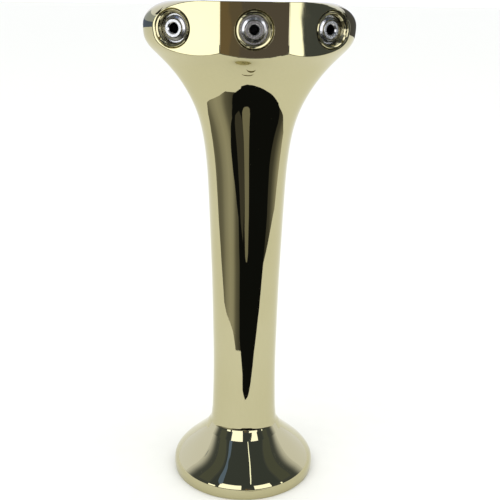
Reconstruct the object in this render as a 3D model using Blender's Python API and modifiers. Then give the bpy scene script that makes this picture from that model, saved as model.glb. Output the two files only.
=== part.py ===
"""Trumpet draft beer tower with three outlets, in metres, +Z up.

The origin is on the counter top, at the centre of the round foot. The outlets face -Y. Left and right are the
viewer's, so left is -X. The hollow body is one polished brass casting: a bell foot, a round column and a horn
that opens into a wide head with three flat faces. Each face holds a captive coupling nut that spins on a
stainless shank, ready for a faucet.
"""

import math

import bmesh
import bpy
from mathutils import Matrix, Vector

MM = 0.001
GAP = 0.3 * MM  # clearance between pieces that touch

# ---- driving dimensions ----
HEIGHT = 504.4 * MM
FOOT_R = 77.4 * MM
NECK_Z = 62.1 * MM  # the bell foot ends and the column starts here
WALL = 3.0 * MM

HOLE_Z = 479.9 * MM  # height of the three outlet axes
FACE_Y = -71.6 * MM  # plane of the centre face
FACE_HALF = 31.1 * MM  # half width of the centre face
FACE_ANGLE = math.radians(26.0)  # how far each side face turns back
SIDE_HOLE = 47.0 * MM  # from the fold line to a side outlet, along the side face

HEAD_HALF = 101.4 * MM  # widest half width of the head
HEAD_WIDE_Z = 481.4 * MM
TOP_HALF = 69.5 * MM  # half width where the rounded ends meet the flat top

# Horn outline seen from the front: height, half width
HORN = (
    (62.1, 35.7), (74.5, 34.7), (124.2, 33.8), (173.9, 34.5), (219.4, 35.5), (263.9, 37.1), (307.4, 38.8),
    (338.5, 40.4), (359.7, 42.5), (381.2, 45.9), (401.6, 51.8), (421.7, 61.4), (441.3, 74.7), (453.4, 86.6),
    (463.4, 96.4), (471.4, 100.4), (481.4, 101.4),
)
# Front depth of the horn before the faces are cut, and depth behind the axis: height, front, back
DEPTH = (
    (62.1, 35.7, 35.7), (74.5, 34.7, 34.7), (124.2, 33.8, 33.8), (173.9, 34.5, 34.5), (219.4, 35.5, 35.5),
    (263.9, 37.1, 37.1), (307.4, 38.6, 38.8), (338.5, 39.4, 40.0), (370.0, 39.8, 40.8), (390.0, 40.6, 41.2),
    (405.0, 42.2, 41.4), (415.0, 44.8, 41.4), (426.0, 49.4, 41.4), (435.0, 54.8, 41.4), (445.0, 62.4, 41.4),
    (455.0, 71.6, 41.4), (461.0, 76.0, 41.4), (468.0, 79.0, 41.4), (481.4, 80.0, 41.4), (504.4, 80.0, 41.4),
)
ROUND_TO_Z = 336.0  # the column is round up to here
OBLONG_FROM_Z = 457.0  # and has the head's full oblong section from here

# Lip and bell of the foot: height, radius, then a curve up to the neck
LIP = (
    (0.0, 75.9), (0.8, 76.7), (3.0, 77.2), (6.0, 77.4), (9.5, 77.3), (12.2, 76.8), (14.6, 75.8), (17.0, 74.2), (19.2, 72.45),
)
BELL_PULL_A = (31.0, 63.1)  # height, radius of the curve's two handles
BELL_PULL_B = (46.5, 37.0)

CAVITY_TOP = 496.9 * MM
LEDGE_Z = 500.6 * MM
BACK_ROLL = 7.0 * MM  # radius of the head's top back edge
LID_INSET = 7.0 * MM
MOUTH_INSET = 18.0 * MM

# Outlet stack, measured inwards from a face
NUT_R = 16.75 * MM
NUT_BORE_R = 13.7 * MM
NUT_LENGTH = 12.2 * MM
NUT_PROUD = 0.5 * MM
POCKET_R = NUT_R + 0.4 * MM
POCKET_DEPTH = 13.0 * MM
BOSS_R = 20.4 * MM
BOSS_DEPTH = 16.0 * MM
SHANK_R = 9.5 * MM
SHANK_END = 30.0 * MM
BORE_R = 4.5 * MM
TUBE_R = 4.0 * MM

FOOT_RING_R = 69.4 * MM
SEAL_R = 71.9 * MM
FOOT_RING_HOLE = 31.0 * MM
BOSS_PCD_R = 53.8 * MM

BRASS = (0.80, 0.74, 0.50)
STEEL = (0.62, 0.62, 0.62)


def clear_scene():
    for ob in list(bpy.data.objects):
        bpy.data.objects.remove(ob, do_unlink=True)


clear_scene()
scene = bpy.context.scene
parts = bpy.data.collections.new("draft_tower")
cutters = bpy.data.collections.new("cutters")
scene.collection.children.link(parts)
scene.collection.children.link(cutters)


# ---- helpers ----
def material(name, color, rough, metal):
    mat = bpy.data.materials.new(name)
    mat.use_nodes = True
    shader = mat.node_tree.nodes["Principled BSDF"]
    shader.inputs["Base Color"].default_value = (*color, 1.0)
    shader.inputs["Roughness"].default_value = rough
    shader.inputs["Metallic"].default_value = metal
    return mat


def add(ob, color=None, rough=0.3, metal=1.0, smooth=True):
    """Puts an object in the parts collection with its own material."""
    for col in list(ob.users_collection):
        col.objects.unlink(ob)
    parts.objects.link(ob)
    ob.data.materials.clear()
    ob.data.materials.append(material(ob.name + "_mat", color, rough, metal))
    if ob.type == "MESH" and smooth:
        for poly in ob.data.polygons:
            poly.use_smooth = True
    return ob


def cutter(ob):
    for col in list(ob.users_collection):
        col.objects.unlink(ob)
    cutters.objects.link(ob)
    ob.hide_render = True
    ob.display_type = "WIRE"
    return ob


def carve(ob, tool, operation="DIFFERENCE"):
    mod = ob.modifiers.new(operation.lower() + "_" + tool.name, "BOOLEAN")
    mod.operation = operation
    mod.solver = "EXACT"
    mod.object = tool


def bake(ob):
    """Replaces an object's mesh with the result of its modifiers."""
    bpy.context.view_layer.update()
    graph = bpy.context.evaluated_depsgraph_get()
    mesh = bpy.data.meshes.new_from_object(ob.evaluated_get(graph))
    mesh.name = ob.name + "_mesh"
    ob.modifiers.clear()
    ob.data = mesh
    return ob


def mesh_object(name, bm):
    mesh = bpy.data.meshes.new(name)
    bmesh.ops.recalc_face_normals(bm, faces=bm.faces)
    bm.to_mesh(mesh)
    bm.free()
    ob = bpy.data.objects.new(name, mesh)
    scene.collection.objects.link(ob)
    return ob


def loft(name, rings):
    """A closed solid through rings of equal point count, capped at both ends."""
    bm = bmesh.new()
    rows = [[bm.verts.new(p) for p in ring] for ring in rings]
    n = len(rows[0])
    for low, high in zip(rows, rows[1:]):
        for i in range(n):
            j = (i + 1) % n
            bm.faces.new((low[i], low[j], high[j], high[i]))
    bm.faces.new(list(reversed(rows[0])))
    bm.faces.new(rows[-1])
    return mesh_object(name, bm)


def turned(name, profile, steps=32):
    """A turned piece about local Z from (radius, height) points. The profile goes down its outer side first."""
    bm = bmesh.new()
    verts = [bm.verts.new((r, 0.0, z)) for r, z in profile]
    for a, b in zip(verts, verts[1:]):
        bm.edges.new((a, b))
    if min(r for r, z in profile) > 0.0:
        bm.edges.new((verts[-1], verts[0]))
    mesh = bpy.data.meshes.new(name)
    bm.to_mesh(mesh)
    bm.free()
    ob = bpy.data.objects.new(name, mesh)
    scene.collection.objects.link(ob)
    screw = ob.modifiers.new("screw", "SCREW")
    screw.steps = steps
    screw.render_steps = steps
    screw.use_merge_vertices = True
    screw.merge_threshold = 0.00001
    bake(ob)
    bm = bmesh.new()
    bm.from_mesh(ob.data)
    bmesh.ops.recalc_face_normals(bm, faces=bm.faces)
    bm.to_mesh(ob.data)
    bm.free()
    return ob


def drum(name, r, low, high, segments=32, r_high=None):
    """A cylinder or cone about local Z from height low to height high."""
    bm = bmesh.new()
    bmesh.ops.create_cone(
        bm, cap_ends=True, segments=segments, radius1=r, radius2=r if r_high is None else r_high, depth=high - low
    )
    bmesh.ops.translate(bm, verts=bm.verts, vec=(0.0, 0.0, (low + high) / 2.0))
    return mesh_object(name, bm)


def tube(name, points, radius, closed_ends=True):
    """A solid rod along a polyline."""
    curve = bpy.data.curves.new(name, "CURVE")
    curve.dimensions = "3D"
    curve.bevel_depth = radius
    curve.bevel_resolution = 2
    curve.use_fill_caps = closed_ends
    line = curve.splines.new("POLY")
    line.points.add(len(points) - 1)
    for point, place in zip(line.points, points):
        point.co = (*place, 1.0)
    ob = bpy.data.objects.new(name, curve)
    scene.collection.objects.link(ob)
    bpy.context.view_layer.update()
    graph = bpy.context.evaluated_depsgraph_get()
    mesh = bpy.data.meshes.new_from_object(ob.evaluated_get(graph))
    bpy.data.objects.remove(ob, do_unlink=True)
    bm = bmesh.new()
    bm.from_mesh(mesh)
    bmesh.ops.remove_doubles(bm, verts=bm.verts, dist=0.000001)
    bpy.data.meshes.remove(mesh)
    return mesh_object(name, bm)


def spline(table, z, column):
    """Smooth value at height z from a table of (height, value, ...) rows, without overshoot."""
    rows = table
    n = len(rows)
    if z <= rows[0][0]:
        return rows[0][column]
    if z >= rows[-1][0]:
        return rows[-1][column]
    k = max(i for i in range(n - 1) if rows[i][0] <= z)

    def secant(i):
        return (rows[i + 1][column] - rows[i][column]) / (rows[i + 1][0] - rows[i][0])

    def slope(i):
        if i == 0:
            return secant(0)
        if i == n - 1:
            return secant(n - 2)
        a, b = secant(i - 1), secant(i)
        return 0.0 if a * b <= 0.0 else 2.0 * a * b / (a + b)

    h = rows[k + 1][0] - rows[k][0]
    t = (z - rows[k][0]) / h
    return (
        (2 * t**3 - 3 * t**2 + 1) * rows[k][column] + (t**3 - 2 * t**2 + t) * h * slope(k)
        + (-2 * t**3 + 3 * t**2) * rows[k + 1][column] + (t**3 - t**2) * h * slope(k + 1)
    )


def bezier(p, t):
    s = 1.0 - t
    return tuple(s**3 * a + 3 * s * s * t * b + 3 * s * t * t * c + t**3 * d for a, b, c, d in zip(*p))


def ease(z, low, high):
    t = min(1.0, max(0.0, (z - low) / (high - low)))
    return t * t * (3.0 - 2.0 * t)


def section(z, inset, quarter):
    """One horizontal outline of the uncut horn at height z (metres), moved inwards by inset."""
    zm = z / MM
    if zm <= HEAD_WIDE_Z / MM:
        wide = spline(HORN, zm, 1) * MM
    else:
        lift = min(1.0, (z - HEAD_WIDE_Z) / (HEIGHT - HEAD_WIDE_Z))
        wide = TOP_HALF + (HEAD_HALF - TOP_HALF) * math.sqrt(1.0 - lift * lift)
    front = spline(DEPTH, zm, 1) * MM
    back = spline(DEPTH, zm, 2) * MM
    if z > HEIGHT - BACK_ROLL:
        roll = min(1.0, (z - HEIGHT) / BACK_ROLL + 1.0)
        back -= BACK_ROLL * (1.0 - math.sqrt(1.0 - roll * roll))
    wide, front, back = wide - inset, front - inset, back - inset
    s = ease(zm, ROUND_TO_Z, OBLONG_FROM_Z)
    c = 0.5523
    far = -20.0 * MM * s  # the widest point moves in front of the axis
    square = 0.64 + 0.16 * ease(zm, 444.0, 466.0)  # the front corners fill out where the faces are
    front_x = (c + (square - c) * s) * wide
    front_y = (1.0 - s) * c * front + s * 9.6 * MM
    back_x = (c + (0.62 - c) * s) * wide
    back_y = (1.0 - s) * c * back + s * 26.0 * MM
    right = [
        bezier(((0.0, -front), (front_x, -front), (wide, far - front_y), (wide, far)), i / quarter)
        for i in range(quarter)
    ]
    right += [
        bezier(((wide, far), (wide, far + back_y), (back_x, back), (0.0, back)), i / quarter)
        for i in range(quarter + 1)
    ]
    left = [(-x, y) for x, y in reversed(right[1:-1])]
    return [(x, y, z) for x, y in right + left]


def circle(z, r, quarter):
    c = 0.5523
    right = [bezier(((0.0, -r), (c * r, -r), (r, -c * r), (r, 0.0)), i / quarter) for i in range(quarter)]
    right += [bezier(((r, 0.0), (r, c * r), (c * r, r), (0.0, r)), i / quarter) for i in range(quarter + 1)]
    left = [(-x, y) for x, y in reversed(right[1:-1])]
    return [(x, y, z) for x, y in right + left]


def bell_rings(inset, quarter, steps):
    """Rings of the bell foot from the counter up to the neck."""
    rings = []
    if inset == 0.0:
        rings += [circle(z * MM, r * MM, quarter) for z, r in LIP]
    else:
        rings += [circle(-1.0 * MM, FOOT_R - inset, quarter), circle(11.0 * MM, FOOT_R - inset - 0.8 * MM, quarter)]
    start, neck = LIP[-1], (NECK_Z / MM, HORN[0][1])
    for i in range(1, steps):
        z, r = bezier((start, BELL_PULL_A, BELL_PULL_B, neck), i / steps)
        z2, r2 = bezier((start, BELL_PULL_A, BELL_PULL_B, neck), i / steps + 0.001)
        run = Vector((z2 - z, r2 - r)).normalized()
        place = Vector((z, r)) * MM + Vector((run.y, -run.x)) * inset
        if inset > 0.0 and (place.x < 13.0 * MM or place.x > NECK_Z - 4.0 * MM):
            continue
        rings.append(circle(place.x, place.y, quarter))
    return rings


def faces_outline(inset, back):
    """Plan outline of the space behind the three flat faces, moved inwards by inset."""
    run = 75.0 * MM
    half = FACE_HALF - inset * math.tan(FACE_ANGLE / 2.0)
    y = FACE_Y + inset
    end = (half + run * math.cos(FACE_ANGLE), y + run * math.sin(FACE_ANGLE))
    return [(half, y), end, (end[0], back), (-end[0], back), (-end[0], end[1]), (-half, y)]


def front_outline(inset):
    """Plan outline of the space in front of the three flat faces, once they are moved inwards by inset."""
    right, end, _, _, left_end, left = faces_outline(inset, 0.0)
    return [left, right, end, (end[0], -0.2), (left_end[0], -0.2), left_end]


def prism(name, outline, low, high):
    return loft(name, [[(x, y, low) for x, y in outline], [(x, y, high) for x, y in outline]])


def cap_block(name, low, high, inset, quarter=10):
    """A slab with the plan shape of the head's top, moved inwards by inset."""
    outline = section(HEIGHT - 0.05 * MM, inset, quarter)
    slab = loft(name, [[(x, y, low) for x, y, _ in outline], [(x, y, high) for x, y, _ in outline]])
    block = cutter(prism(name + "_faces", faces_outline(inset, 80.0 * MM), low - 10 * MM, high + 10 * MM))
    carve(slab, block, "INTERSECT")
    return bake(slab)


def outlet_frame(side):
    """Matrix whose origin is an outlet's centre on its face and whose Z points out of the face."""
    angle = side * FACE_ANGLE
    out = Vector((math.sin(angle), -math.cos(angle), 0.0))
    if side == 0:
        place = Vector((0.0, FACE_Y, HOLE_Z))
    else:
        place = Vector((side * (FACE_HALF + SIDE_HOLE * math.cos(FACE_ANGLE)), FACE_Y + SIDE_HOLE * math.sin(FACE_ANGLE), HOLE_Z))
    up = Vector((0.0, 0.0, 1.0))
    across = up.cross(out)
    turn = Matrix((across, up, out)).transposed().to_4x4()
    return Matrix.Translation(place) @ turn


OUTLETS = (("left", -1), ("centre", 0), ("right", 1))
FRAMES = {name: outlet_frame(side) for name, side in OUTLETS}

# ---- tower body ----
OUTER_LEVELS = (
    74.5, 98, 135, 176, 219, 264, 305, 332, 350, 365, 379, 391, 401, 410, 418, 426, 433, 440, 446, 452, 458,
    464, 470, 476, 481.4,
)
END_ROUND = (0.22, 0.42, 0.60, 0.75, 0.87, 0.95)  # fractions of the rounded ends' height
rings = bell_rings(0.0, 12, 11)
rings.append(section(NECK_Z, 0.0, 12))
rings += [section(z * MM, 0.0, 12) for z in OUTER_LEVELS]
rings += [section(HEAD_WIDE_Z + f * (HEIGHT - HEAD_WIDE_Z), 0.0, 12) for f in END_ROUND]
rings.append(section(HEIGHT, 0.0, 12))
body = loft("tower_body", rings)
faces = cutter(prism("face_planes", front_outline(0.0), 425 * MM, HEIGHT + 20 * MM))
carve(body, faces)
bake(body)

INNER_LEVELS = (
    68, 93, 176, 264, 338, 362, 384, 402, 416, 428, 439, 449, 458, 468, 479, 488,
)
rings = bell_rings(WALL, 7, 7)
rings += [section(z * MM, WALL, 7) for z in INNER_LEVELS]
rings.append(section(CAVITY_TOP, WALL + 2.0 * MM, 7))
cavity = cutter(loft("cavity", rings))
inner_faces = cutter(prism("inner_face_planes", front_outline(WALL + 1.0 * MM), 422 * MM, HEIGHT + 10 * MM))
carve(cavity, inner_faces)
bake(cavity)
for name, side in OUTLETS:
    socket = cutter(drum("socket_" + name, BOSS_R, -BOSS_DEPTH, 6.0 * MM, 24))
    socket.matrix_world = FRAMES[name]
    carve(cavity, socket)
for i in range(4):
    lug = cutter(drum("lug_%d" % i, 5.0 * MM, 8.4 * MM, 45.0 * MM, 16))
    angle = math.radians(45.0 + 90.0 * i)
    lug.location = (BOSS_PCD_R * math.cos(angle), BOSS_PCD_R * math.sin(angle), 0.0)
    carve(cavity, lug)
bake(cavity)
carve(body, cavity)
bake(body)

for name, side in OUTLETS:
    pocket = turned(
        "pocket_" + name,
        [(0.0, 3.0 * MM), (POCKET_R + 3.8 * MM, 3.0 * MM), (POCKET_R, -0.8 * MM), (POCKET_R, -POCKET_DEPTH),
         (SHANK_R + GAP, -POCKET_DEPTH), (SHANK_R + GAP, -BOSS_DEPTH - 4.0 * MM), (0.0, -BOSS_DEPTH - 4.0 * MM)],
        32,
    )
    cutter(pocket).matrix_world = FRAMES[name]
    carve(body, pocket)
recess = cutter(cap_block("lid_recess", LEDGE_Z, HEIGHT + 5 * MM, LID_INSET))
mouth = cutter(cap_block("access_mouth", CAVITY_TOP - 5 * MM, HEIGHT + 6 * MM, MOUTH_INSET))
carve(body, recess)
carve(body, mouth)
SCREW_SPOTS = [(-44.0 * MM, -51.5 * MM), (44.0 * MM, -51.5 * MM), (-28.0 * MM, 17.6 * MM), (28.0 * MM, 17.6 * MM)]
for i, (x, y) in enumerate(SCREW_SPOTS):
    hole = cutter(drum("ledge_hole_%d" % i, 1.6 * MM, CAVITY_TOP - 3 * MM, HEIGHT, 12))
    hole.location = (x, y, 0.0)
    carve(body, hole)
for i in range(4):
    hole = cutter(drum("lug_hole_%d" % i, 2.2 * MM, 4.0 * MM, 14.5 * MM, 12))
    angle = math.radians(45.0 + 90.0 * i)
    hole.location = (BOSS_PCD_R * math.cos(angle), BOSS_PCD_R * math.sin(angle), 0.0)
    carve(body, hole)
bake(body)
add(body, BRASS, 0.06, 1.0)

# ---- lid ----
gasket = cap_block("cover_gasket", LEDGE_Z + GAP, LEDGE_Z + GAP + 0.6 * MM, LID_INSET + GAP)
gasket_hole = cutter(cap_block("cover_gasket_hole", LEDGE_Z - 5 * MM, HEIGHT, MOUTH_INSET))
carve(gasket, gasket_hole)
lid = cap_block("top_cover", LEDGE_Z + 2 * GAP + 0.6 * MM, HEIGHT, LID_INSET + GAP)
for i, (x, y) in enumerate(SCREW_SPOTS):
    hole = cutter(drum("gasket_hole_%d" % i, 1.6 * MM, LEDGE_Z - 2 * MM, HEIGHT + 2 * MM, 12))
    hole.location = (x, y, 0.0)
    carve(gasket, hole)
    sink = turned(
        "sink_%d" % i,
        [(0.0, 1.0 * MM), (3.7 * MM, 1.0 * MM), (3.1 * MM, -0.35 * MM), (1.6 * MM, -1.9 * MM), (1.6 * MM, -6.0 * MM), (0.0, -6.0 * MM)],
        12,
    )
    cutter(sink).location = (x, y, HEIGHT)
    carve(lid, sink)
    screw = turned(
        "cover_screw_%d" % (i + 1),
        [(0.0, -0.25 * MM), (2.7 * MM, -0.25 * MM), (2.7 * MM, -0.45 * MM), (1.25 * MM, -1.95 * MM), (1.25 * MM, -7.2 * MM), (0.0, -7.2 * MM)],
        10,
    )
    screw.location = (x, y, HEIGHT)
    recess_hex = cutter(drum("cover_screw_hex_%d" % i, 1.1 * MM, -1.3 * MM, 1.0 * MM, 6))
    recess_hex.location = (x, y, HEIGHT)
    carve(screw, recess_hex)
    add(bake(screw), STEEL, 0.25, 1.0, smooth=False)
add(bake(gasket), (0.03, 0.03, 0.03), 0.8, 0.0, smooth=False)
add(bake(lid), BRASS, 0.08, 1.0, smooth=False)

# ---- foot hardware ----
seal = turned(
    "base_gasket",
    [(SEAL_R, 1.8 * MM), (SEAL_R, 0.0), (FOOT_RING_HOLE + 2 * MM, 0.0), (FOOT_RING_HOLE + 2 * MM, 1.8 * MM)],
    32,
)
ring = turned(
    "mount_ring",
    [(FOOT_RING_R, 8.1 * MM), (FOOT_RING_R, 2.1 * MM), (FOOT_RING_HOLE, 2.1 * MM), (FOOT_RING_HOLE, 8.1 * MM)],
    32,
)
for i in range(4):
    angle = math.radians(45.0 + 90.0 * i)
    x, y = BOSS_PCD_R * math.cos(angle), BOSS_PCD_R * math.sin(angle)
    sink = turned(
        "ring_sink_%d" % i,
        [(0.0, 10.0 * MM), (2.4 * MM, 10.0 * MM), (2.4 * MM, 5.2 * MM), (4.4 * MM, 3.2 * MM), (5.0 * MM, 1.0 * MM), (0.0, 1.0 * MM)],
        12,
    )
    cutter(sink).location = (x, y, 0.0)
    carve(ring, sink)
    access = cutter(drum("seal_hole_%d" % i, 5.2 * MM, -2.0 * MM, 4.0 * MM, 12))
    access.location = (x, y, 0.0)
    carve(seal, access)
    screw = turned(
        "ring_screw_%d" % (i + 1),
        [(0.0, 13.6 * MM), (1.85 * MM, 13.6 * MM), (1.85 * MM, 5.1 * MM), (4.0 * MM, 2.95 * MM), (4.0 * MM, 2.4 * MM), (0.0, 2.4 * MM)],
        10,
    )
    screw.location = (x, y, 0.0)
    recess_hex = cutter(drum("ring_screw_hex_%d" % i, 1.6 * MM, 1.0 * MM, 4.2 * MM, 6))
    recess_hex.location = (x, y, 0.0)
    carve(screw, recess_hex)
    add(bake(screw), STEEL, 0.25, 1.0, smooth=False)
    # tapped hole for a bolt that comes up through the counter
    angle = math.radians(90.0 * i)
    bolt = cutter(drum("bolt_hole_%d" % i, 3.2 * MM, -2.0 * MM, 12.0 * MM, 28))
    bolt.location = (BOSS_PCD_R * math.cos(angle), BOSS_PCD_R * math.sin(angle), 0.0)
    carve(ring, bolt)
    clear = cutter(drum("bolt_clear_%d" % i, 4.0 * MM, -2.0 * MM, 4.0 * MM, 12))
    clear.location = bolt.location
    carve(seal, clear)
add(bake(seal), (0.03, 0.03, 0.03), 0.85, 0.0, smooth=False)
add(bake(ring), STEEL, 0.35, 1.0, smooth=False)

sleeve = turned(
    "insulation_sleeve",
    [(29.8 * MM, 333.0 * MM), (29.8 * MM, 87.0 * MM), (20.5 * MM, 87.0 * MM), (20.5 * MM, 333.0 * MM)],
    24,
)
add(sleeve, (0.08, 0.08, 0.08), 0.9, 0.0)

# ---- outlets ----
ELBOW_DROP = 45.6 * MM  # inward distance of the elbow's falling leg
HOLE_CLOCK = {"left": 215.0, "centre": 258.0, "right": 318.0}  # where each nut's spanner hole has stopped
COLUMN_SPOT = {"left": (-14.0, 3.0), "centre": (0.0, 2.0), "right": (14.0, 3.0)}
for name, side in OUTLETS:
    frame = FRAMES[name]

    nut = turned(
        "coupling_nut_" + name,
        [(NUT_R - 0.7 * MM, NUT_PROUD), (NUT_R, NUT_PROUD - 0.7 * MM), (NUT_R, NUT_PROUD - NUT_LENGTH),
         (11.5 * MM, NUT_PROUD - NUT_LENGTH), (11.5 * MM, -8.8 * MM), (NUT_BORE_R, -8.8 * MM),
         (NUT_BORE_R, -0.6 * MM), (NUT_BORE_R + 0.8 * MM, NUT_PROUD)],
        32,
    )
    pin = cutter(drum("spanner_hole_" + name, 1.2 * MM, -4.0 * MM, 2.0 * MM, 12))
    clock = math.radians(HOLE_CLOCK[name])
    pin.location = (15.35 * MM * math.cos(clock), 15.35 * MM * math.sin(clock), 0.0)
    carve(nut, pin)
    add(bake(nut), BRASS, 0.08, 1.0)
    nut.matrix_world = frame

    shank = turned(
        "shank_" + name,
        [(8.0 * MM, -1.9 * MM), (8.6 * MM, -3.2 * MM), (11.4 * MM, -4.2 * MM), (11.4 * MM, -6.0 * MM),
         (13.2 * MM, -6.0 * MM), (13.2 * MM, -8.5 * MM), (11.1 * MM, -8.5 * MM), (11.1 * MM, -12.7 * MM),
         (SHANK_R, -12.7 * MM), (SHANK_R, -SHANK_END + 0.8 * MM), (SHANK_R - 0.8 * MM, -SHANK_END),
         (BORE_R, -SHANK_END), (BORE_R, -1.9 * MM)],
        24,
    )
    add(shank, STEEL, 0.22, 1.0)
    shank.matrix_world = frame

    washer = turned(
        "shank_washer_" + name,
        [(15.0 * MM, -16.3 * MM), (15.0 * MM, -17.8 * MM), (SHANK_R + GAP, -17.8 * MM), (SHANK_R + GAP, -16.3 * MM)],
        20,
    )
    add(washer, STEEL, 0.3, 1.0)
    washer.matrix_world = frame

    locknut = drum("shank_locknut_" + name, 15.6 * MM, -23.9 * MM, -18.1 * MM, 6)
    thread = cutter(drum("locknut_bore_" + name, SHANK_R + GAP, -26.0 * MM, -16.0 * MM, 20))
    carve(locknut, thread)
    add(bake(locknut), STEEL, 0.3, 1.0, smooth=False)
    locknut.matrix_world = frame

    tail_nut = drum("tail_nut_" + name, 14.6 * MM, -36.4 * MM, -24.3 * MM, 6)
    hollow = cutter(turned(
        "tail_nut_hollow_" + name,
        [(0.0, -22.0 * MM), (SHANK_R + GAP, -22.0 * MM), (SHANK_R + GAP, -34.4 * MM), (TUBE_R + 0.5 * MM, -34.4 * MM),
         (TUBE_R + 0.5 * MM, -38.0 * MM), (0.0, -38.0 * MM)],
        20,
    ))
    carve(tail_nut, hollow)
    add(bake(tail_nut), BRASS, 0.25, 1.0, smooth=False)
    tail_nut.matrix_world = frame

    tail_washer = turned(
        "tail_washer_" + name,
        [(9.2 * MM, -30.3 * MM), (9.2 * MM, -31.8 * MM), (BORE_R, -31.8 * MM), (BORE_R, -30.3 * MM)],
        16,
    )
    add(tail_washer, (0.05, 0.05, 0.05), 0.8, 0.0)
    tail_washer.matrix_world = frame

    # elbow from the shank's end, turning down
    bend = 9.0 * MM
    path = [frame @ Vector((0.0, 0.0, -33.4 * MM)), frame @ Vector((0.0, 0.0, -ELBOW_DROP + bend))]
    for i in range(1, 7):
        a = math.radians(15.0 * i)
        path.append(frame @ Vector((0.0, -bend * (1.0 - math.cos(a)), -ELBOW_DROP + bend - bend * math.sin(a))))
    path.append(frame @ Vector((0.0, -26.0 * MM, -ELBOW_DROP)))
    elbow = tube("tail_elbow_" + name, path, TUBE_R)
    flange = cutter(drum("elbow_flange_" + name, 9.0 * MM, -34.1 * MM, -32.1 * MM, 16))
    flange.matrix_world = frame
    carve(elbow, flange, "UNION")
    add(bake(elbow), STEEL, 0.25, 1.0)

    spot = frame @ Vector((0.0, 0.0, -ELBOW_DROP))
    union = turned(
        "tube_union_" + name,
        [(6.0 * MM, -17.0 * MM), (6.0 * MM, -37.0 * MM), (TUBE_R + GAP, -37.0 * MM), (TUBE_R + GAP, -17.0 * MM)],
        14,
    )
    union.location = spot
    add(union, STEEL, 0.3, 1.0)

    foot_x, foot_y = COLUMN_SPOT[name][0] * MM, COLUMN_SPOT[name][1] * MM
    ends = (
        (spot.x, spot.y, HOLE_Z - 40.0 * MM), (spot.x - side * 13.0 * MM, spot.y * 0.8, HOLE_Z - 62.0 * MM),
        (foot_x, foot_y, 408.0 * MM), (foot_x, foot_y, 352.0 * MM),
    )
    route = [(spot.x, spot.y, HOLE_Z - 28.0 * MM)]
    route += [bezier(ends, i / 8.0) for i in range(9)]
    route.append((foot_x, foot_y, 12.0 * MM))
    pipe = tube("product_tube_" + name, route, TUBE_R)
    add(pipe, STEEL, 0.3, 1.0)
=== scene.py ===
"""Polished trumpet draft tower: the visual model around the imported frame. Metres, +Z up, outlets face -Y."""

import math

import bmesh
import bpy
import numpy as np
from mathutils import Matrix, Vector
from mathutils.bvhtree import BVHTree
from mathutils.kdtree import KDTree
from mathutils.geometry import tessellate_polygon


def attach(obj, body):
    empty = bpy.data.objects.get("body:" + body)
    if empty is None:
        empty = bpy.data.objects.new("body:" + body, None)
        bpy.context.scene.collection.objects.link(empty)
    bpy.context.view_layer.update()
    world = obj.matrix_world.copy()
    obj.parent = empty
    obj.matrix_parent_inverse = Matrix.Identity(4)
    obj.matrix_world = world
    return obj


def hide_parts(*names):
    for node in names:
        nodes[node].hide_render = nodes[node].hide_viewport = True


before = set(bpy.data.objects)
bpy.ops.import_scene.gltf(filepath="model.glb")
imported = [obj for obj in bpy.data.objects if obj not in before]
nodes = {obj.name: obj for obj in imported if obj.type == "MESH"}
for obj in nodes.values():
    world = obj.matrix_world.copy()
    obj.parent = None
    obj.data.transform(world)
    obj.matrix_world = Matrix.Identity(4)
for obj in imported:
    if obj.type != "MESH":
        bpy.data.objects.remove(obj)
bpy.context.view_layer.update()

MM = 0.001
scene = bpy.context.scene

# ---- dimensions of the tower, in millimetres, as in the part ----
HEIGHT = 504.4
NECK_Z = 62.1
HOLE_Z = 479.9
FACE_Y = -71.6
FACE_HALF = 31.1
FACE_ANGLE = math.radians(26.0)
SIDE_HOLE = 47.0
HEAD_HALF = 101.4
HEAD_WIDE_Z = 481.4
TOP_HALF = 69.5
HORN = (
    (62.1, 35.7), (74.5, 34.7), (124.2, 33.8), (173.9, 34.5), (219.4, 35.5), (263.9, 37.1), (307.4, 38.8),
    (338.5, 40.4), (359.7, 42.5), (381.2, 45.9), (401.6, 51.8), (421.7, 61.4), (441.3, 74.7), (453.4, 86.6),
    (463.4, 96.4), (471.4, 100.4), (481.4, 101.4),
)
DEPTH = (
    (62.1, 35.7, 35.7), (74.5, 34.7, 34.7), (124.2, 33.8, 33.8), (173.9, 34.5, 34.5), (219.4, 35.5, 35.5),
    (263.9, 37.1, 37.1), (307.4, 38.6, 38.8), (338.5, 39.4, 40.0), (370.0, 39.8, 40.8), (390.0, 40.6, 41.2),
    (405.0, 42.2, 41.4), (415.0, 44.8, 41.4), (426.0, 49.4, 41.4), (435.0, 54.8, 41.4), (445.0, 62.4, 41.4),
    (455.0, 71.6, 41.4), (461.0, 76.0, 41.4), (468.0, 79.0, 41.4), (481.4, 80.0, 41.4), (504.4, 80.0, 41.4),
)
ROUND_TO_Z, OBLONG_FROM_Z = 336.0, 457.0
LIP = ((0.8, 76.7), (3.0, 77.2), (6.0, 77.4), (9.5, 77.3), (12.2, 76.8), (14.6, 75.8), (17.0, 74.2), (19.2, 72.45))
BELL_PULL_A, BELL_PULL_B = (31.0, 63.1), (46.5, 37.0)
LEDGE_Z, LID_INSET, MOUTH_INSET, BACK_ROLL = 500.6, 7.0, 18.0, 7.0
GAP = 0.3
POCKET_R, POCKET_DEPTH, SHANK_R = 17.15, 13.0, 9.5
NUT_R = 16.75
HOLE_CLOCK = {"left": 215.0, "centre": 258.0, "right": 318.0}
OUTLETS = (("left", -1), ("centre", 0), ("right", 1))
SCREW_SPOTS = ((-44.0, -51.5), (44.0, -51.5), (-28.0, 17.6), (28.0, 17.6))


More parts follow.
